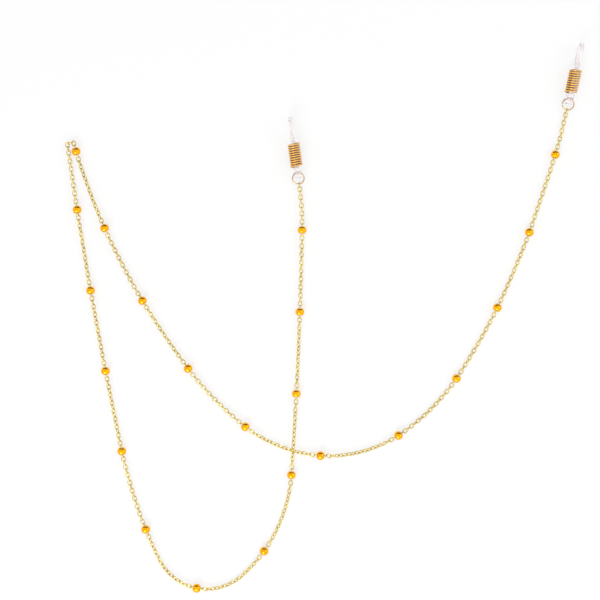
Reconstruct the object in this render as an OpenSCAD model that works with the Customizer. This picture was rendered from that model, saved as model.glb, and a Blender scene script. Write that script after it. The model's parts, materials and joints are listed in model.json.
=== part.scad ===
// Neck chain with gold balls, laid out on a flat surface. Each end has a jump ring and a clear rubber
// loop, and a coil spring slides on the loop to draw it tight. Millimetres, +Z up, surface at z = 0.

/* [Chain] */
// Thickness of the wire that the links are bent from
link_wire = 0.4; // [0.3:0.02:0.5]
// Length of a link over its ends
link_l = 2.4; // [2.0:0.05:3.2]
// Width of a link over its sides
link_w = 1.7; // [1.5:0.02:2.1]
// Free play between two links
link_play = 0.08; // [0.05:0.01:0.15]
// Links from one ball to the next, an even number
links_per_ball = 20; // [16:2:26]
// Links from a jump ring to the nearest ball, an odd number
end_links = 11; // [9:2:13]

/* [Balls] */
// Number of balls
ball_n = 22; // [22:1:22]
// Wall of the hollow ball
ball_wall = 0.35; // [0.2:0.05:0.5]
// Clearance between a ball and the link that it is closed over
ball_fit = 0.1; // [0.06:0.01:0.2]
// Clearance between a ball's slots and the two links that come out of them
slot_fit = 0.2; // [0.15:0.01:0.3]

/* [Lie] */
// Space under the links between two balls
hang_gap = 0.45; // [0.2:0.05:0.6]
// Space under the links of the strand that another one arches over
under_gap = 0.05; // [0.02:0.01:0.2]
// Space between the two strands where one arches over the other
arch_gap = 0.3; // [0.2:0.05:0.6]

/* [Jump rings] */
// Outside diameter of a jump ring
ring_d = 4.8; // [4.4:0.1:6]
// Thickness of the wire that a jump ring is bent from
ring_wire = 0.5; // [0.4:0.05:0.6]
// Clearance between a jump ring and what hangs on it
ring_fit = 0.1; // [0.06:0.01:0.2]
// Angle of the closed-up split in a jump ring
ring_split = 5; // [3:1:10]

/* [Grip loops] */
// Hole of the loop
loop_hole_d = 4.4; // [3.6:0.1:6]
// Strand of rubber around the hole
loop_wall = 1.4; // [1.1:0.1:2]
// Thickness of the loop across its flat sides
loop_t = 1.5; // [1.2:0.1:1.8]
// Length over which the two legs spread into the loop
loop_spread = 4.6; // [4.2:0.1:6]
// Width of each of the two legs under the spring
leg_w = 1.3; // [1.1:0.05:1.6]
// Slit between the legs
leg_slit = 0.2; // [0.1:0.05:0.4]
// Height of the end tab that holds the jump ring
tab_h = 3.9; // [3.6:0.1:4.2]
// Thickness of the end tab
tab_t = 2.4; // [2:0.1:3]
// Length of the tab from its hole to the shoulder that stops the spring
tab_l = 1.9; // [1.6:0.1:3]

/* [Grip springs] */
// Thickness of the spring's wire
spring_wire = 0.45; // [0.35:0.01:0.55]
// Advance of the wire in one turn
spring_pitch = 0.88; // [0.84:0.01:1.2]
// Number of turns
spring_turns = 10; // [8:1:12]
// Clearance between the spring, the legs and the shoulder
spring_fit = 0.15; // [0.06:0.01:0.2]
// How far the spring slides towards the loop
spring_travel = 1.2; // [0.8:0.1:2]

/* [Hidden] */
$fn = 48;
gold = [0.85, 0.62, 0.2];
deep_gold = [0.93, 0.62, 0.12];
spring_gold = [0.9, 0.6, 0.22];
clear_rubber = [0.94, 0.92, 0.9, 0.6];

// Links
link_r = (link_w - link_wire) / 2;
link_half = (link_l - link_w) / 2;
link_pitch = link_l - 2 * link_wire - link_play;
link_n = 2 * end_links + (ball_n - 1) * links_per_ball + 1;

// Balls
ball_in = link_l + 2 * ball_fit;
ball_d = ball_in + 2 * ball_wall;
slot_h = link_w + 2 * slot_fit;
slot_w = link_wire + 2 * slot_fit;

// The odd links lie flat and the even ones stand on edge, and each ball is closed over a flat link.
function lies_flat(i) = i % 2 == 1;
function ball_link(k) = end_links + (k - 1) * links_per_ball;
function ball_before(i) = floor((i - end_links) / links_per_ball) + 1;
function links_since(i) = i - ball_link(ball_before(i));
function links_until(i) = ball_link(ball_before(i) + 1) - i;
function within(x, span) = x >= span[0] && x <= span[1];

// The chain's heading on the surface at some of its links, in whole degrees anticlockwise from +X.
// It hangs down in a deep U, climbs to a sharp fold and comes down again in a wide bow.
route = [
    [0, 278],
    [ball_link(1), 269],
    [ball_link(2), 268],
    [ball_link(3), 267],
    [ball_link(4), 266],
    [ball_link(6) - 12, 222],
    [ball_link(6) + 12, 116],
    [ball_link(8), 102],
    [ball_link(9), 101],
    [ball_link(10), 100],
    [ball_link(12) - 4, 98],
    [ball_link(12) - 2, -74],
    [ball_link(13), -66],
    [ball_link(14), -59],
    [ball_link(15), -53],
    [ball_link(16), -38],
    [ball_link(17), -4],
    [ball_link(18), 33],
    [ball_link(19), 56],
    [ball_link(20), 64],
    [ball_link(21), 70],
    [ball_link(22), 73],
    [link_n - 1, 78],
];
function heading(i) = lookup(i, route);

// The links dip a little on both sides of each ball. The strand after one ball lies on the surface, and the
// strand after another ball arches over it, about two thirds of the way to the next ball. Each span counts
// its links from the ball beside it, and has an even number of them.
dip_span = [3, 6];
arch_ball = 3;
under_ball = 16;
arch_rise = [4, 2 * floor(links_per_ball * 0.31) + 1];
arch_fall = [2, 5];
hang_z = hang_gap + link_w / 2;
under_z = under_gap + link_w / 2;
arch_z = under_z + link_w + arch_gap;
function span_links(span) = span[1] - span[0] + 1;
function slope(height, span) = asin(height / (span_links(span) * link_pitch));
function dip(i) = slope(ball_d / 2 - (ball_before(i) == under_ball ? under_z : hang_z), dip_span);
function arch_lift(i) =
    within(links_since(i), arch_rise) ? slope(arch_z - ball_d / 2, arch_rise) :
    within(links_until(i), arch_fall) ? -slope(arch_z - ball_d / 2, arch_fall) : 0;
function dip_lift(i) =
    within(links_since(i), dip_span) ? -dip(i) :
    within(links_until(i), dip_span) ? dip(i) : 0;
function lift(i) = ball_before(i) == arch_ball ? arch_lift(i) : dip_lift(i);

// Two links turn sideways about the end of the flat one, and up or down about the end of the one on edge.
function side_arm(i) = lies_flat(i) ? link_half : link_pitch - link_half;
function lift_arm(i) = link_pitch - side_arm(i);
function half_step(i) = [
    side_arm(i) * cos(lift(i)) * cos(heading(i)),
    side_arm(i) * cos(lift(i)) * sin(heading(i)),
    lift_arm(i) * sin(lift(i)),
];
loose_places = [
    for (i = 0, p = [0, 0, hang_z]; i < link_n; p = p + half_step(i) + half_step(i + 1), i = i + 1) p
];

// Legs, tab and spring. The spring's wire is drawn in straight steps, so its radius is opened a little.
spring_steps = 8;
spring_sides = 6;
leg_half = leg_w + leg_slit / 2;
leg_reach = norm([leg_half, loop_t / 2]);
spring_r = (leg_reach + spring_fit + spring_wire / 2) / cos(180 / spring_steps);
spring_out = spring_r + spring_wire / 2;
spring_x = tab_l + spring_fit + spring_wire / 2;
spring_l = spring_turns * spring_pitch;
leg_end = spring_x + spring_l + spring_wire / 2 + spring_travel + spring_fit;
loop_x = leg_end + loop_spread;
loop_out = loop_hole_d / 2 + loop_wall;

// The loop piece leans on the surface at the loop and at the spring's first turn.
lean_run = loop_x - (spring_x - spring_wire / 2);
lean = asin(loop_out / norm([lean_run, spring_out])) - atan2(spring_out, lean_run);
tab_z = loop_out - loop_x * sin(lean);

// The jump ring bows a little inside the tab's hole.
ring_r = (ring_d - ring_wire) / 2;
ring_bow = ring_r - sqrt(pow(ring_r, 2) - pow(tab_t / 2, 2));
tab_hole_d = ring_wire + ring_bow + 2 * ring_fit;
ring_reach = 2 * ring_r - ring_bow / 2;
ring_seat = link_l / 2 - link_wire - link_play - ring_wire / 2;
ring_tilt = asin((tab_z - hang_z) / ring_reach);
tab_x = ring_seat + ring_reach * cos(ring_tilt);

// The whole lies with the middle of its outline over the origin.
function ahead(angle) = [cos(angle), sin(angle), 0];
end_l = tab_x + loop_x * cos(lean) + loop_out;
left_tip = loose_places[0] - end_l * ahead(heading(0));
right_tip = loose_places[link_n - 1] + end_l * ahead(heading(link_n - 1));
edge_points = concat([left_tip, right_tip], loose_places);
function low(axis) = min([for (p = edge_points) p[axis]]);
function high(axis) = max([for (p = edge_points) p[axis]]);
lowest_half = [link_w / 2, ball_d / 2];
middle = [
    (low(0) - lowest_half[0] + high(0) + loop_t / 2) / 2,
    (low(1) - lowest_half[1] + high(1)) / 2,
    0,
];
places = [for (p = loose_places) p - middle];

function two_digits(k) = k < 10 ? str("0", k) : str(k);
function chain_name(k) = str("chain_", two_digits(k));
function ball_name(k) = str("ball_", two_digits(k));

// One link, lying flat along X
module link() {
    for (end = [0, 180])
        rotate([0, 0, end]) {
            translate([link_half, 0, 0])
                rotate([0, 0, -90])
                    rotate_extrude(angle = 180) translate([link_r, 0]) circle(d = link_wire);
            translate([-link_half, link_r, 0])
                rotate([0, 90, 0]) cylinder(d = link_wire, h = 2 * link_half);
        }
}

// Puts what lies along X at a link's place, along its direction
module at_link(i) {
    translate(places[i]) rotate([0, -lift(i), heading(i)]) children();
}

// Stretch k of the chain, from just after ball k - 1 to the link on edge just after ball k
module chain(k) {
    first = k == 1 ? 0 : ball_link(k - 1) + 2;
    last = k == ball_n + 1 ? link_n - 1 : ball_link(k) + 1;
    color(gold)
        for (i = [first : last])
            at_link(i) rotate([lies_flat(i) ? 0 : 90, 0, 0]) link();
}

// A round-ended slot along X
module slot() {
    straight = slot_h - slot_w;
    square([straight, slot_w], center = true);
    for (side = [-1, 1])
        translate([side * straight / 2, 0]) circle(d = slot_w);
}

// A hollow ball closed over a flat link, slotted at both ends for the links on edge beside it
module ball(k) {
    color(deep_gold)
        at_link(ball_link(k))
            rotate([0, 90, 0])
                difference() {
                    sphere(d = ball_d);
                    sphere(d = ball_in);
                    linear_extrude(height = 2 * ball_d, center = true) slot();
                }
}

// Puts what points along X outside one end of the chain, with its origin at the end link's middle
module at_left_end() {
    translate(places[0]) rotate([0, 0, heading(0) + 180]) children();
}

module at_right_end() {
    translate(places[link_n - 1]) rotate([0, 0, heading(link_n - 1)]) children();
}

// Puts what points along X at the tab's hole, leaning with the loop piece
module at_tab() {
    translate([tab_x, 0, tab_z - hang_z]) rotate([0, -lean, 0]) children();
}

// The jump ring, tilted up from the end link to the tab, with its split to one side
module jump_ring() {
    color(gold)
        translate([ring_seat, 0, 0])
            rotate([0, -ring_tilt, 0])
                translate([ring_r, 0, 0])
                    rotate([0, 0, 90 + ring_split / 2])
                        rotate_extrude(angle = 360 - ring_split)
                            translate([ring_r, 0]) circle(d = ring_wire);
}

// Where a line from the end of a leg, at the given half width, touches a circle round the loop's middle
function touch_point(half, radius) =
    let (
        run = norm([loop_spread, half]),
        angle = asin(radius / run) - atan2(half, loop_spread),
        length = sqrt(pow(run, 2) - pow(radius, 2))
    )
    [leg_end + length * cos(angle), half + length * sin(angle)];

// A round end that narrows to a leg of the given half width
module teardrop(half, radius) {
    touch = touch_point(half, radius);
    translate([loop_x, 0]) circle(r = radius);
    polygon([
        [leg_end, -half],
        [touch[0], -touch[1]],
        [loop_x, 0],
        touch,
        [leg_end, half],
    ]);
}

// The clear rubber piece: a tab for the jump ring, two legs side by side, and the loop that they spread into
module grip_loop() {
    color(clear_rubber)
        at_tab()
            rotate([90, 0, 0])
                difference() {
                    union() {
                        linear_extrude(height = tab_t, center = true) {
                            circle(d = tab_h);
                            translate([0, -tab_h / 2]) square([tab_l, tab_h]);
                        }
                        linear_extrude(height = loop_t, center = true) {
                            translate([0, -leg_half]) square([leg_end, 2 * leg_half]);
                            teardrop(leg_half, loop_out);
                        }
                    }
                    cylinder(d = tab_hole_d, h = 2 * tab_t, center = true);
                    linear_extrude(height = 2 * loop_t, center = true) {
                        translate([tab_l + leg_slit, -leg_slit / 2])
                            square([leg_end - tab_l - leg_slit, leg_slit]);
                        teardrop(leg_slit / 2, loop_hole_d / 2);
                    }
                }
}

// The spring's wire: a ring of points at every step along the coil, and one closed skin over them
function spring_ring(i) =
    let (turn = 360 * i / spring_steps, x = spring_x + spring_pitch * i / spring_steps)
    [
        for (j = [0 : spring_sides - 1])
            let (
                side = 360 * j / spring_sides,
                r = spring_r + spring_wire / 2 * cos(side)
            )
            [x + spring_wire / 2 * sin(side), r * cos(turn), r * sin(turn)]
    ];
spring_last = spring_turns * spring_steps;
spring_rings = [for (i = [0 : spring_last]) spring_ring(i)];
function ring_point(i, j) = i * spring_sides + j % spring_sides;
spring_faces = concat(
    [
        for (i = [0 : spring_last - 1], j = [0 : spring_sides - 1], half = [0, 1])
            half == 0
                ? [ring_point(i, j), ring_point(i, j + 1), ring_point(i + 1, j)]
                : [ring_point(i, j + 1), ring_point(i + 1, j + 1), ring_point(i + 1, j)]
    ],
    [for (j = [1 : spring_sides - 2]) [ring_point(0, 0), ring_point(0, j + 1), ring_point(0, j)]],
    [
        for (j = [1 : spring_sides - 2])
            [ring_point(spring_last, 0), ring_point(spring_last, j), ring_point(spring_last, j + 1)]
    ]
);

module grip_spring() {
    color(spring_gold)
        at_tab()
            polyhedron(points = [for (ring = spring_rings) each ring], faces = spring_faces);
}

// The least gap of the spring to itself, between the points of each ring and of those a turn further on
spring_gap = min([
    for (i = [0 : spring_last - spring_steps], d = [-2 : 2])
        if (i + spring_steps + d <= spring_last)
            for (a = spring_rings[i], b = spring_rings[i + spring_steps + d]) norm(a - b)
]);
echo(spring_gap_mm = spring_gap);

for (k = [1 : ball_n + 1])
    chain(k);
for (k = [1 : ball_n])
    ball(k);
at_left_end() jump_ring();  // left_jump_ring
at_right_end() jump_ring();  // right_jump_ring
at_left_end() grip_loop();  // left_grip_loop
at_right_end() grip_loop();  // right_grip_loop
at_left_end() grip_spring();  // left_grip_spring
at_right_end() grip_spring();  // right_grip_spring
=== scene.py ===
# Looks of a fine gold ball chain with clear rubber grip loops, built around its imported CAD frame.
import json
import math

import bpy
import numpy as np
from mathutils import Matrix, Vector


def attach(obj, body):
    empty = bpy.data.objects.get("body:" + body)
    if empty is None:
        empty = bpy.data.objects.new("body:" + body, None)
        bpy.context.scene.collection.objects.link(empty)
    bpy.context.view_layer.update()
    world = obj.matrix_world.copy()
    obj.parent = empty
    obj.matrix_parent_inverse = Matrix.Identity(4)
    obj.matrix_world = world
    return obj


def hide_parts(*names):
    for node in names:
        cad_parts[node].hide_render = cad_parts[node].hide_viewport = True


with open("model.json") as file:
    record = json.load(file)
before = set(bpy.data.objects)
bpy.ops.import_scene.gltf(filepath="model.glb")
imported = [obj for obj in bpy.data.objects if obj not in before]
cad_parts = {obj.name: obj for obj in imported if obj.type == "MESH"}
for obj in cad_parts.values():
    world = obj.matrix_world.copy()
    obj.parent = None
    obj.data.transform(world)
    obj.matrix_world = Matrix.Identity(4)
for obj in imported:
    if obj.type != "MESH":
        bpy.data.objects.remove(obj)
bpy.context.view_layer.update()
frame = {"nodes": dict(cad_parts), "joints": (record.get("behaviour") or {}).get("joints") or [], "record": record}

MM = 0.001
JOINTS = {joint["name"]: joint for joint in frame["joints"]}
BODIES = frame["record"]["behaviour"]["bodies"]
STRETCHES = sorted(body for body in BODIES if body.startswith("stretch"))
SIDES = ("left", "right")


# Node trees


class Socket:
    """One output in a node tree, used in plain sums: each operator adds a Math node to the tree."""

    def __init__(self, tree, source=None):
        self.tree = tree
        self.source = source

    def node(self, kind, settings=None, inputs=None, output=0):
        """Adds a node to the same tree, its settings first and then its sockets' values or links."""
        made = self.tree.nodes.new(kind)
        for name, value in (settings or {}).items():
            setattr(made, name, value)
        for key, value in (inputs or {}).items():
            target = made.inputs[key] if isinstance(key, int) else pick(made.inputs, key)
            if isinstance(value, Socket):
                self.tree.links.new(value.source, target)
            else:
                target.default_value = value
        found = made.outputs
        if not found:
            return made
        return Socket(self.tree, found[output] if isinstance(output, int) else pick(found, output))

    def math(self, operation, *values):
        return self.node("ShaderNodeMath", {"operation": operation}, dict(enumerate(values)))

    def __add__(self, other):
        return self.math("ADD", self, other)

    def __radd__(self, other):
        return self.math("ADD", other, self)

    def __sub__(self, other):
        return self.math("SUBTRACT", self, other)

    def __rsub__(self, other):
        return self.math("SUBTRACT", other, self)

    def __mul__(self, other):
        return self.math("MULTIPLY", self, other)

    def __rmul__(self, other):
        return self.math("MULTIPLY", other, self)

    def __truediv__(self, other):
        return self.math("DIVIDE", self, other)

    def __rtruediv__(self, other):
        return self.math("DIVIDE", other, self)

    def __pow__(self, other):
        return self.math("POWER", self, other)

    def __abs__(self):
        return self.math("ABSOLUTE", self)


def pick(sockets, name):
    """The socket of that identifier, or else of that name."""
    for socket in sockets:
        if socket.identifier == name:
            return socket
    return sockets[name]


def shape_tree(name, **inputs):
    """A Geometry Nodes tree with named inputs: a Socket to start nodes from, and one for each input."""
    tree = bpy.data.node_groups.new(name, "GeometryNodeTree")
    tree.interface.new_socket("Geometry", in_out="INPUT", socket_type="NodeSocketGeometry")
    for label, kind in inputs.items():
        tree.interface.new_socket(label, in_out="INPUT", socket_type="NodeSocket" + kind)
    tree.interface.new_socket("Geometry", in_out="OUTPUT", socket_type="NodeSocketGeometry")
    given = tree.nodes.new("NodeGroupInput").outputs
    return Socket(tree), {socket.name: Socket(tree, socket) for socket in given if socket.name}


def named(start, label, kind):
    """What an attribute says at each point."""
    return start.node("GeometryNodeInputNamedAttribute", {"data_type": kind}, {"Name": label})


def store(shape, label, value):
    """The shape with a number kept on each of its points, for its finish to read."""
    return shape.node(
        "GeometryNodeStoreNamedAttribute",
        {"data_type": "FLOAT", "domain": "POINT"},
        {"Geometry": shape, "Name": label, "Value": value},
    )


def close_tree(shape, finish):
    """Ends a tree with smooth shading, Realize Instances and Set Material, and gives it back."""
    smooth = shape.node("GeometryNodeSetShadeSmooth", inputs={"Geometry": shape})
    real = shape.node("GeometryNodeRealizeInstances", inputs={"Geometry": smooth})
    dressed = shape.node("GeometryNodeSetMaterial", inputs={"Geometry": real, "Material": finish})
    shape.node("NodeGroupOutput", inputs={0: dressed})
    return shape.tree


def show(name, data):
    """Puts a mesh, a lamp or a camera in the scene, at the origin."""
    thing = bpy.data.objects.new(name, data)
    bpy.context.scene.collection.objects.link(thing)
    return thing


def plain_mesh(thing):
    """The mesh that an object's modifiers make of it. The object itself goes."""
    graph = bpy.context.evaluated_depsgraph_get()
    mesh = bpy.data.meshes.new_from_object(
        thing.evaluated_get(graph), preserve_all_data_layers=True, depsgraph=graph
    )
    bpy.data.objects.remove(thing)
    return mesh


def grow(name, tree, points, **values):
    """Runs a tree on a mesh of points. The result is an object with a plain mesh and no modifier."""
    seed = bpy.data.objects.new(name + "_seed", points)
    runner = seed.modifiers.new("shape", "NODES")
    runner.node_group = tree
    for item in tree.interface.items_tree:
        if item.in_out == "INPUT" and item.name in values:
            runner[item.identifier] = values[item.name]
    bpy.context.scene.collection.objects.link(seed)
    mesh = plain_mesh(seed)
    bpy.data.meshes.remove(points)
    mesh.name = name
    return show(name, mesh)


def point_mesh(name, points, **vectors):
    """A mesh of loose points, with a vector attribute for each list of vectors."""
    mesh = bpy.data.meshes.new(name)
    mesh.from_pydata([tuple(p) for p in points], [], [])
    for label, values in vectors.items():
        field = mesh.attributes.new(label, "FLOAT_VECTOR", "POINT")
        field.data.foreach_set("vector", np.asarray(values, np.float32).ravel())
    return mesh


def place_piece(piece, body, node):
    """The piece moves with a body and stands for a CAD node, which it hides."""
    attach(piece, body)
    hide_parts(node)


# What the frame says about places and sizes

# Points that agree to this many decimals of a metre are one point.
SAME_POINT_DECIMALS = 7


def vertices(node):
    mesh = frame["nodes"][node].data
    spots = np.empty(len(mesh.vertices) * 3, np.float32)
    mesh.vertices.foreach_get("co", spots)
    return spots.reshape(-1, 3).astype(float)


def separate_solids(node):
    """The vertices of each of a node's solids, found by walking over its triangles."""
    mesh = frame["nodes"][node].data
    spots = vertices(node)
    corners = np.empty(len(mesh.loops), np.int32)
    mesh.loops.foreach_get("vertex_index", corners)
    rounded = np.round(spots, SAME_POINT_DECIMALS)
    same = np.unique(rounded, axis=0, return_inverse=True)[1].ravel()
    triangles = same[corners].reshape(-1, 3)
    group = np.arange(same.max() + 1)
    while True:
        least = group.copy()
        np.minimum.at(least, triangles.ravel(), np.repeat(group[triangles].min(axis=1), 3))
        least = least[least]
        if (least == group).all():
            break
        group = least
    return [spots[group[same] == g] for g in np.unique(group)]


def box_middle(spots):
    return (spots.min(axis=0) + spots.max(axis=0)) / 2


def solid_axes(spots):
    """A solid's middle, and its axes with the longest first."""
    middle = box_middle(spots)
    axes = np.linalg.svd(spots - middle, full_matrices=False)[2]
    return middle, axes


def stand(origin, x, z):
    """A place that has its X along x and its Z near z."""
    x = Vector(x).normalized()
    y = Vector(z).cross(x).normalized()
    z = x.cross(y)
    return Matrix.Translation(Vector(origin)) @ Matrix((x, y, z)).transposed().to_4x4()


def seen_from(place, spots):
    """Points as seen from a place."""
    back = np.array(place.inverted())
    return spots @ back[:3, :3].T + back[:3, 3]


# Finishes

# How many clouds, marks or specks lie along a metre
CLOUDS = 260
POLISHING = 2600
RUBBING = 9000
HAZE = 420
DUST = 7000

NOISE_ROUGHNESS = 0.55
GRAIN_DEPTH = 0.03 * MM

# Where a cloud starts and is full, and how much of the deep gold it then brings
CLOUD_LOW, CLOUD_HIGH = 0.35, 0.7
CLOUD_SHARE = 0.55
# How much more of the deep gold the dullest link has than the brightest
TONE_SHARE = 0.45
# How squarely wire faces the next turn where the painted shade between turns starts and where it is full
GROOVE_LOW, GROOVE_HIGH = 0.4, 0.85
POLISHING_STRETCH = (1, 1, 4)
POLISHING_HEIGHT, RUBBING_HEIGHT = 0.6, 0.4
POLISHING_DULLS, CLOUD_DULLS = 0.1, 0.06

RUBBER_CLEAR = (1.0, 0.965, 0.97)
RUBBER_BLUSH = (0.99, 0.92, 0.93)
RUBBER_SHEEN, HAZE_DULLS, DUST_DULLS = 0.08, 0.06, 0.04
RUBBER_GRAIN = 0.05
RUBBER_IOR = 1.41
RUBBER_CLEARNESS = 0.75


def finish_tree(name):
    """A new material, a Socket to start its nodes from, and its Principled shader."""
    material = bpy.data.materials.new(name)
    material.use_nodes = True
    tree = material.node_tree
    shader = next(n for n in tree.nodes if n.type == "BSDF_PRINCIPLED")
    return material, Socket(tree), shader


def feed(shader, **values):
    """Sets or links the shader's sockets; an underscore in a name stands for a space."""
    for key, value in values.items():
        target = shader.inputs[key.replace("_", " ")]
        if isinstance(value, Socket):
            value.tree.links.new(value.source, target)
        else:
            target.default_value = value


def blend_colours(share, first, second):
    colours = [(*c, 1) if isinstance(c, tuple) else c for c in (first, second)]
    return share.node(
        "ShaderNodeMix",
        {"data_type": "RGBA"},
        {"Factor_Float": share, "A_Color": colours[0], "B_Color": colours[1]},
        "Result_Color",
    )


def mottle(start, per_metre, detail, stretch=(1, 1, 1)):
    """Soft noise on the piece's own coordinates."""
    place = start.node("ShaderNodeTexCoord", output="Object")
    place = start.node("ShaderNodeMapping", inputs={"Vector": place, "Scale": stretch})
    return start.node(
        "ShaderNodeTexNoise",
        inputs={"Vector": place, "Scale": per_metre, "Detail": detail, "Roughness": NOISE_ROUGHNESS},
        output="Fac",
    )


def kept_number(start, label):
    """A number that the shape keeps on its points."""
    return start.node("ShaderNodeAttribute", {"attribute_name": label}, output="Fac")


def grain_bump(start, strength, height):
    return start.node(
        "ShaderNodeBump",
        inputs={"Strength": strength, "Distance": GRAIN_DEPTH, "Height": height},
        output="Normal",
    )


def gold_plate(name, bright, deep, sheen, grain, piece_tone=False, groove_shade=None):
    """Plated gold: cloudy between two golds, with fine polishing marks in its gloss and its surface.

    A groove colour, painted shade, lies where wire faces the next turn, where the turns shade each other.
    """
    material, start, shader = finish_tree(name)
    cloud = mottle(start, CLOUDS, detail=4.0)
    share = start.node(
        "ShaderNodeMapRange",
        inputs={"Value": cloud, "From Min": CLOUD_LOW, "From Max": CLOUD_HIGH, "To Max": CLOUD_SHARE},
    )
    if piece_tone:
        share = start.math("MINIMUM", share + kept_number(start, "tone") * TONE_SHARE, 1.0)
    marks = mottle(start, POLISHING, detail=2.0, stretch=POLISHING_STRETCH)
    rub = mottle(start, RUBBING, detail=1.0)
    colour = blend_colours(share, bright, deep)
    # Painted shade: the groove colour darkens the wire where it faces the next turn
    if groove_shade:
        painted_groove_shade = start.node(
            "ShaderNodeMapRange",
            inputs={
                "Value": kept_number(start, "facing"),
                "From Min": GROOVE_LOW,
                "From Max": GROOVE_HIGH,
            },
        )
        colour = blend_colours(painted_groove_shade, colour, groove_shade)
    feed(
        shader,
        Base_Color=colour,
        Metallic=1.0,
        Roughness=sheen + marks * POLISHING_DULLS + cloud * CLOUD_DULLS,
        Normal=grain_bump(start, grain, marks * POLISHING_HEIGHT + rub * RUBBING_HEIGHT),
    )
    return material


def clear_rubber(name):
    """Clear silicone with a faint blush, a soft haze and a little dust in its gloss."""
    material, start, shader = finish_tree(name)
    haze = mottle(start, HAZE, detail=2.0)
    dust = mottle(start, DUST, detail=1.0)
    feed(
        shader,
        Base_Color=blend_colours(haze, RUBBER_CLEAR, RUBBER_BLUSH),
        Roughness=RUBBER_SHEEN + haze * HAZE_DULLS + dust * DUST_DULLS,
        Normal=grain_bump(start, RUBBER_GRAIN, haze),
        IOR=RUBBER_IOR,
        Transmission_Weight=RUBBER_CLEARNESS,
    )
    return material


LINK_GOLD = gold_plate(
    "chain_gold", (0.89, 0.72, 0.24), (0.66, 0.49, 0.14), sheen=0.13, grain=0.12, piece_tone=True
)
BALL_GOLD = gold_plate("ball_gold", (1.00, 0.48, 0.012), (0.96, 0.38, 0.006), sheen=0.09, grain=0.06)
RING_GOLD = gold_plate("ring_gold", (0.70, 0.50, 0.29), (0.54, 0.34, 0.17), sheen=0.14, grain=0.12)
SPRING_GOLD = gold_plate(
    "spring_gold",
    (1.00, 0.60, 0.17),
    (1.00, 0.47, 0.08),
    sheen=0.24,
    grain=0.10,
    # The painted shade colour between the spring's turns
    groove_shade=(0.24, 0.08, 0.012),
)
RUBBER = clear_rubber("clear_rubber")


# Chain links

LINK_STEPS = 12
LINK_SIDES = 5
# The wire is a little fuller than its size in the CAD, to make up for its flat sides.
LINK_FULLNESS = 1.1
LINK_ROLL = math.radians(3)

# How far each stretch has twisted between its balls, in degrees, as it lies in the photo.
TWISTS = (8, 20, 42, 44, 45, 44, 34, 6, 24, 20, 26, 0, 44, 10, 28, 4, 44, 45, 16, 14, 16, 8, 6)
# How far from a ball the twist starts, and where it is full
TWIST_START, TWIST_FULL = 1.6 * MM, 9 * MM


def link_tree():
    """An oval link of round wire on each point, along the point's own vectors and rolled a little."""
    start, given = shape_tree(
        "chain_links",
        Length="Float", Width="Float", Wire="Float", Roll="Float", Seed="Int", Finish="Material",
    )
    half = (given["Length"] - given["Width"]) / 2
    radius = (given["Width"] - given["Wire"]) / 2
    per_end = LINK_STEPS // 2
    index = start.node("GeometryNodeInputIndex")
    end = start.math("FLOOR", index / per_end)
    turn = math.pi * (end - 0.5 + (index - end * per_end) / (per_end - 1))
    x = half * (1 - 2 * end) + radius * start.math("COSINE", turn)
    y = radius * start.math("SINE", turn)
    oval = start.node("ShaderNodeCombineXYZ", inputs={"X": x, "Y": y})
    path = start.node("GeometryNodeCurvePrimitiveCircle", inputs={"Resolution": LINK_STEPS})
    path = start.node("GeometryNodeSetPosition", inputs={"Geometry": path, "Position": oval})
    section = start.node(
        "GeometryNodeCurvePrimitiveCircle",
        inputs={"Resolution": LINK_SIDES, "Radius": given["Wire"] / 2 * LINK_FULLNESS},
    )
    link = start.node("GeometryNodeCurveToMesh", inputs={"Curve": path, "Profile Curve": section})
    lie = start.node(
        "FunctionNodeAxesToRotation",
        {"primary_axis": "X", "secondary_axis": "Z"},
        {
            "Primary Axis": named(start, "along", "FLOAT_VECTOR"),
            "Secondary Axis": named(start, "across", "FLOAT_VECTOR"),
        },
    )
    roll = start.node(
        "FunctionNodeRandomValue",
        {"data_type": "FLOAT"},
        {"Min_001": -1 * given["Roll"], "Max_001": given["Roll"], "Seed": given["Seed"]},
        "Value_001",
    )
    roll = start.node(
        "FunctionNodeAxisAngleToRotation",
        inputs={"Axis": (1, 0, 0), "Angle": roll + named(start, "twist", "FLOAT")},
    )
    lie = start.node(
        "FunctionNodeRotateRotation",
        {"rotation_space": "LOCAL"},
        {"Rotation": lie, "Rotate By": roll},
    )
    tone = start.node(
        "FunctionNodeRandomValue", {"data_type": "FLOAT"}, {"Seed": given["Seed"] + 1}, "Value_001"
    )
    links = start.node(
        "GeometryNodeInstanceOnPoints",
        inputs={"Points": store(given["Geometry"], "tone", tone), "Instance": link, "Rotation": lie},
    )
    return close_tree(links, given["Finish"])


LINKS = link_tree()
BALL_MIDDLES = [box_middle(vertices(node)) for node in sorted(frame["nodes"]) if node.startswith("ball")]


def twist_at(place, most):
    """A link's share of its stretch's twist: none at a ball, and all of it some links away from one."""
    away = min(np.linalg.norm(place - middle) for middle in BALL_MIDDLES)
    share = min(max((away - TWIST_START) / (TWIST_FULL - TWIST_START), 0), 1)
    return math.radians(most) * share * share * (3 - 2 * share)


def chain_stretch(number, body):
    """One stretch of links, each where the CAD has it. Gives back each link's middle and axes."""
    node = f"chain_{number:02d}"
    solids = separate_solids(node)
    links = [solid_axes(spots) for spots in solids]
    middles = [middle for middle, axes in links]
    length, width, wire = np.ptp((solids[0] - middles[0]) @ links[0][1].T, axis=0)
    forward = middles[-1] - middles[0]
    points = point_mesh(
        "link_places",
        middles,
        along=[axes[0] * (1 if axes[0] @ forward > 0 else -1) for middle, axes in links],
        across=[axes[2] for middle, axes in links],
    )
    twist = points.attributes.new("twist", "FLOAT", "POINT")
    twist.data.foreach_set("value", [twist_at(middle, TWISTS[number - 1]) for middle in middles])
    piece = grow(
        f"links_{number:02d}",
        LINKS,
        points,
        Length=float(length), Width=float(width), Wire=float(wire),
        Roll=LINK_ROLL, Seed=number, Finish=LINK_GOLD,
    )
    place_piece(piece, body, node)
    return links


# Balls

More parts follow.
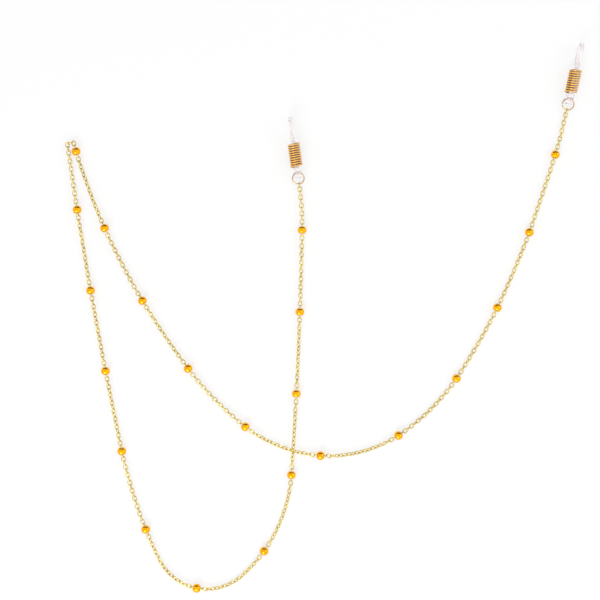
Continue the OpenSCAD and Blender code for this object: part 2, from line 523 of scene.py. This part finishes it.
BALL_AROUND = 48
OUTSIDE_POINTS = 25
INSIDE_POINTS = 9
RIM_POINTS = 7
SLOT_HEIGHT = 2.1 * MM
SLOT_WIDTH = 0.8 * MM


def slot_reach(turn):
    """How far the slot's edge is from the ball's axis, at an angle from the slot's long way."""
    straight, round_end = (SLOT_HEIGHT - SLOT_WIDTH) / 2, SLOT_WIDTH / 2
    along, across = abs(math.cos(turn)), abs(math.sin(turn))
    if round_end * along <= straight * across:
        return round_end / across
    return straight * along + math.sqrt(round_end**2 - (straight * across) ** 2)


def arc(radius, angles, centre=(0, 0)):
    return [(centre[0] + radius * math.cos(a), centre[1] + radius * math.sin(a)) for a in angles]


def ball_profile(outer, inner, opening):
    """The wall's outline from rim to rim, as distances along and from the axis, with rolled-in rims."""
    roll = (outer - inner) / 2
    mid = (outer + inner) / 2
    first = math.asin((opening + roll) / mid)
    last = math.pi - first

    def rim(angle, start):
        """The rolled edge between the outside and the inside, without its two ends."""
        angles = start + np.linspace(0, math.pi, RIM_POINTS)[1:-1]
        return arc(roll, angles, (mid * math.cos(angle), mid * math.sin(angle)))

    outside = arc(outer, np.linspace(first, last, OUTSIDE_POINTS))
    inside = arc(inner, np.linspace(last, first, INSIDE_POINTS))
    return outside + rim(last, last) + inside + rim(first, first + math.pi)


def slotted_ball(name, outer, inner):
    """A hollow ball on X, with a slot at each end that is long in Z."""
    turns = np.linspace(0, math.tau, BALL_AROUND, endpoint=False)
    outlines = [ball_profile(outer, inner, slot_reach(turn - math.pi / 2)) for turn in turns]
    count = len(outlines[0])
    points = [
        (x, r * math.cos(turn), r * math.sin(turn))
        for turn, outline in zip(turns, outlines)
        for x, r in outline
    ]
    faces = []
    for i in range(BALL_AROUND):
        this, after = i * count, (i + 1) % BALL_AROUND * count
        for j in range(count):
            k = (j + 1) % count
            faces.append((this + j, this + k, after + k, after + j))
    mesh = bpy.data.meshes.new(name)
    mesh.from_pydata(points, [], faces)
    mesh.shade_smooth()
    return mesh


def ball(number, body, links):
    """A hollow ball with rolled rims, closed over the flat link in its middle."""
    node = f"ball_{number:02d}"
    spots = vertices(node)
    middle = box_middle(spots)
    inside = min(links, key=lambda link: np.linalg.norm(link[0] - middle))
    reach = np.linalg.norm(spots - middle, axis=1)
    mesh = slotted_ball(f"{node}_gold", reach.max(), reach.min())
    mesh.transform(stand(middle, inside[1][0], (0, 0, 1)))
    mesh.materials.append(BALL_GOLD)
    place_piece(show(f"gold_{node}", mesh), body, node)


for number, body in enumerate(STRETCHES, 1):
    links = chain_stretch(number, body)
    if f"ball_{number:02d}" in frame["nodes"]:
        ball(number, body, links)


# Jump rings and springs: both are wire wound round an axis

WIRE_SIDES = 12
# How suddenly the wire flares at its ends
FLARE_POWER = 60


def wound_tree():
    """Round wire wound round Z, with cut ends that flare a little."""
    start, given = shape_tree(
        "wound_wire",
        Radius="Float", Rise="Float", Turns="Float", Start="Float", Wire="Float", Flare="Float",
        Steps="Int", Finish="Material",
    )
    share = start.node("GeometryNodeInputIndex") / (given["Steps"] - 1)
    turn = given["Start"] + math.tau * given["Turns"] * share
    reach = given["Radius"] + given["Flare"] * abs(2 * share - 1) ** FLARE_POWER
    place = start.node(
        "ShaderNodeCombineXYZ",
        inputs={
            "X": reach * start.math("COSINE", turn),
            "Y": reach * start.math("SINE", turn),
            "Z": given["Rise"] * (share - 0.5),
        },
    )
    line = start.node("GeometryNodeMeshLine", inputs={"Count": given["Steps"]})
    line = start.node("GeometryNodeMeshToCurve", inputs={"Mesh": line})
    line = start.node("GeometryNodeSetPosition", inputs={"Geometry": line, "Position": place})
    section = start.node(
        "GeometryNodeCurvePrimitiveCircle",
        inputs={"Resolution": WIRE_SIDES, "Radius": given["Wire"] / 2},
    )
    wire = start.node(
        "GeometryNodeCurveToMesh",
        inputs={"Curve": line, "Profile Curve": section, "Fill Caps": True},
    )
    # How squarely the wire faces along Z, towards the next turn; the spring's finish paints shade there
    normal = start.node("GeometryNodeInputNormal")
    facing = abs(start.node("ShaderNodeSeparateXYZ", inputs={"Vector": normal}, output="Z"))
    return close_tree(store(wire, "facing", facing), given["Finish"])


WOUND = wound_tree()


def wound_piece(name, place, body, node, slot, **sizes):
    piece = grow(name, WOUND, point_mesh("start", [(0, 0, 0)]), **sizes)
    piece.data.transform(place)
    place_piece(piece, body, node)


RING_STEPS = 73
RING_SPRUNG = 0.06 * MM


def jump_ring(side):
    """The ring as the CAD has it, sprung a hair out of line at its split."""
    node = f"{side}_jump_ring"
    swivel, tilt = JOINTS[f"{side}_ring_swivel"], JOINTS[f"{side}_loop_tilt"]
    centre = Vector(swivel["pos_m"])
    place = stand(centre, Vector(tilt["pos_m"]) - centre, swivel["axis"])
    spots = seen_from(place, vertices(node))
    away = np.hypot(spots[:, 0], spots[:, 1])
    wire = float(np.ptp(spots[:, 2]))
    turns = np.sort(np.unwrap(np.sort(np.arctan2(spots[:, 1], spots[:, 0]))))
    gaps = np.diff(np.append(turns, turns[0] + math.tau))
    widest = int(gaps.argmax())
    split = float(gaps[widest])
    wound_piece(
        f"{side}_ring_wire", place, f"{side}_ring", node, "ring_gold",
        Radius=float(away.max()) - wire / 2, Rise=RING_SPRUNG, Turns=1 - split / math.tau,
        Start=float(turns[widest] + split), Wire=wire, Flare=0.0, Steps=RING_STEPS, Finish=RING_GOLD,
    )


def tab_place(side):
    """The hole of the end tab, with X along the legs."""
    tilt, slide = JOINTS[f"{side}_loop_tilt"], JOINTS[f"{side}_spring_slide"]
    along = Vector(slide["axis"])
    return stand(tilt["pos_m"], along, along.cross(Vector(tilt["axis"])))


SPRING_WIRE = 0.64 * MM
SPRING_TURNS = 10
SPRING_STEPS_A_TURN = 28
SPRING_FLARE = 0.1 * MM


def grip_spring(side):
    """A coil of fuller wire in the room of the CAD coil."""
    node = f"{side}_grip_spring"
    tab = tab_place(side)
    spots = seen_from(tab, vertices(node))
    outer = float(np.hypot(spots[:, 1], spots[:, 2]).max())
    low, high = float(spots[:, 0].min()), float(spots[:, 0].max())
    axis = Matrix.Translation(((low + high) / 2, 0, 0)) @ Matrix.Rotation(math.pi / 2, 4, "Y")
    wound_piece(
        f"{side}_spring_wire", tab @ axis, f"{side}_spring", node, "spring_gold",
        Radius=outer - SPRING_WIRE / 2, Rise=high - low - SPRING_WIRE, Turns=float(SPRING_TURNS),
        Start=0.0, Wire=SPRING_WIRE, Flare=SPRING_FLARE, Steps=SPRING_TURNS * SPRING_STEPS_A_TURN + 1,
        Finish=SPRING_GOLD,
    )


# Grip loops: the CAD outline made soft, worked on in millimetres

VOXEL = 0.09
ROUNDING_PASSES = 14
ROUNDING_STEP = 0.6


def round_off(mesh):
    """Draws each point towards the middle of its neighbours, a few times over."""
    spots = np.empty(len(mesh.vertices) * 3)
    mesh.vertices.foreach_get("co", spots)
    spots = spots.reshape(-1, 3)
    edges = np.empty(len(mesh.edges) * 2, np.int32)
    mesh.edges.foreach_get("vertices", edges)
    edges = edges.reshape(-1, 2)
    neighbours = np.bincount(edges.ravel(), minlength=len(spots))[:, None]
    for _ in range(ROUNDING_PASSES):
        near = np.zeros_like(spots)
        np.add.at(near, edges[:, 0], spots[edges[:, 1]])
        np.add.at(near, edges[:, 1], spots[edges[:, 0]])
        spots = spots + ROUNDING_STEP * (near / neighbours - spots)
    mesh.vertices.foreach_set("co", spots.ravel())


def grip_loop(side):
    """The rubber piece with its edges rounded off, as a moulding has them."""
    node = f"{side}_grip_loop"
    mesh = frame["nodes"][node].data.copy()
    mesh.transform(Matrix.Scale(1 / MM, 4))
    rough = show(f"{side}_rubber_rough", mesh)
    skin = rough.modifiers.new("skin", "REMESH")
    skin.mode, skin.voxel_size = "VOXEL", VOXEL
    soft = plain_mesh(rough)
    round_off(soft)
    soft.transform(Matrix.Scale(MM, 4))
    soft.materials.clear()
    soft.materials.append(RUBBER)
    soft.shade_smooth()
    place_piece(show(f"{side}_rubber_loop", soft), f"{side}_loop", node)


for side in SIDES:
    jump_ring(side)
    grip_spring(side)
    grip_loop(side)


# Stage: a milky white floor, a white room, cards for the gold to mirror, soft lamps and the camera overhead

FLOOR_SIZE = 8
FLOOR_DROP = 0.02 * MM
FLOOR_GREY = 0.9
# How far from the middle the floor's glow starts to change, and where it is that of the far floor
FLOOR_NEAR, FLOOR_FAR = 0.16, 0.95
FLOOR_GLOW, FLOOR_FAR_GLOW = 0.14, 0.40
# The floor's glow as it is seen through the rubber
FLOOR_THROUGH = 0.5
# How much the floor hides of what is below it
FLOOR_COVER = 0.35
# How bright the room is as a light; where it is looked at, it is white
ROOM_LIGHT = 0.68


def ray_kinds(start):
    """For each kind of ray that shows the background, one on that ray and nought on others."""
    path = start.node("ShaderNodeLightPath").source.node
    kinds = ("Camera", "Glossy", "Transmission")
    return [Socket(start.tree, path.outputs[f"Is {kind} Ray"]) for kind in kinds]


def plane(name, width, depth, place):
    mesh = bpy.data.meshes.new(name)
    x, y = width / 2, depth / 2
    mesh.from_pydata([(-x, -y, 0), (x, -y, 0), (x, y, 0), (-x, y, 0)], [], [(0, 1, 2, 3)])
    mesh.transform(place)
    sheet = show(name, mesh)
    return sheet


def floor_finish():
    """Milky glass: it glows a little where it is looked at, and more far off, where the lamps don't reach.

    What swings below it still shows through.
    """
    material, start, shader = finish_tree("white_floor")
    place = start.node("ShaderNodeTexCoord", output="Object")
    away = start.node("ShaderNodeVectorMath", {"operation": "LENGTH"}, {0: place}, "Value")
    far = start.node(
        "ShaderNodeMapRange",
        {"interpolation_type": "SMOOTHSTEP"},
        {"Value": away, "From Min": FLOOR_NEAR, "From Max": FLOOR_FAR},
    )
    camera_ray, glossy_ray, through_ray = ray_kinds(start)
    feed(
        shader,
        Base_Color=(FLOOR_GREY, FLOOR_GREY, FLOOR_GREY, 1),
        Roughness=1.0,
        Specular_IOR_Level=0.0,
        Emission_Color=blend_colours(far, (FLOOR_GLOW,) * 3, (FLOOR_FAR_GLOW,) * 3),
        Emission_Strength=camera_ray + glossy_ray + FLOOR_THROUGH / FLOOR_GLOW * through_ray,
        Alpha=FLOOR_COVER,
    )
    return material


def card(name, width, depth, place, lean, glow):
    """A card that is seen only where the gold mirrors it, leaning by some degrees."""
    leaning = Matrix.Rotation(math.radians(lean), 4, "X")
    sheet = plane(name, width, depth, Matrix.Translation(place) @ leaning)
    material, _, shader = finish_tree(name)
    feed(
        shader,
        Base_Color=(0, 0, 0, 1),
        Specular_IOR_Level=0.0,
        Emission_Color=(glow, glow, glow, 1),
        Emission_Strength=1.0,
    )
    sheet.data.materials.append(material)
    sheet.visible_camera = False
    sheet.visible_diffuse = False
    sheet.visible_shadow = False
    sheet.visible_transmission = False


def white_room():
    """A world that lights the object softly, and is white where it is looked at."""
    world = bpy.data.worlds.new("white_room")
    bpy.context.scene.world = world
    world.use_nodes = True
    start = Socket(world.node_tree)
    camera_ray, glossy_ray, through_ray = ray_kinds(start)
    looked_at = start.math("MINIMUM", camera_ray + glossy_ray + through_ray, 1.0)
    sky = next(n for n in world.node_tree.nodes if n.type == "BACKGROUND")
    feed(sky, Color=(1, 1, 1, 1), Strength=ROOM_LIGHT + (1 - ROOM_LIGHT) * looked_at)


def softbox(name, place, size, power):
    """A round soft lamp that aims at the origin."""
    lamp = bpy.data.lights.new(name, "AREA")
    lamp.shape, lamp.size, lamp.energy = "DISK", size, power
    holder = show(name, lamp)
    holder.location = place
    holder.rotation_euler = (-Vector(place)).to_track_quat("-Z", "Y").to_euler()


floor = plane("floor", FLOOR_SIZE, FLOOR_SIZE, Matrix.Translation((0, 0, -FLOOR_DROP)))
floor.data.materials.append(floor_finish())
card("dark_card", width=1.6, depth=0.5, place=(0, 0.62, 0.25), lean=75, glow=0.03)
card("front_card", width=1.6, depth=0.3, place=(0, -0.7, 0.16), lean=-75, glow=1.5)
card("overhead_card", width=1.0, depth=0.7, place=(0, 0.2, 0.62), lean=0, glow=0.92)
white_room()
softbox("front_light", place=(-0.2, -0.55, 0.5), size=0.45, power=2.2)
softbox("side_light", place=(0.6, 0.1, 0.6), size=0.5, power=0.95)

# The camera looks straight down, and its view is VIEW_WIDTH wide at VIEW_HEIGHT.
VIEW_WIDTH = 222.6 * MM
VIEW_MIDDLE = (-8.9 * MM, 7.05 * MM)
VIEW_HEIGHT = 1.6 * MM
lens = bpy.data.cameras.new("camera")
lens.lens, lens.sensor_width, lens.sensor_fit = 85, 36, "HORIZONTAL"
lens.clip_start, lens.clip_end = 0.01, 50
camera = show("camera", lens)
camera.location = (*VIEW_MIDDLE, VIEW_WIDTH * lens.lens / lens.sensor_width + VIEW_HEIGHT)
bpy.context.scene.camera = camera
bpy.context.scene.view_settings.view_transform = "Standard"
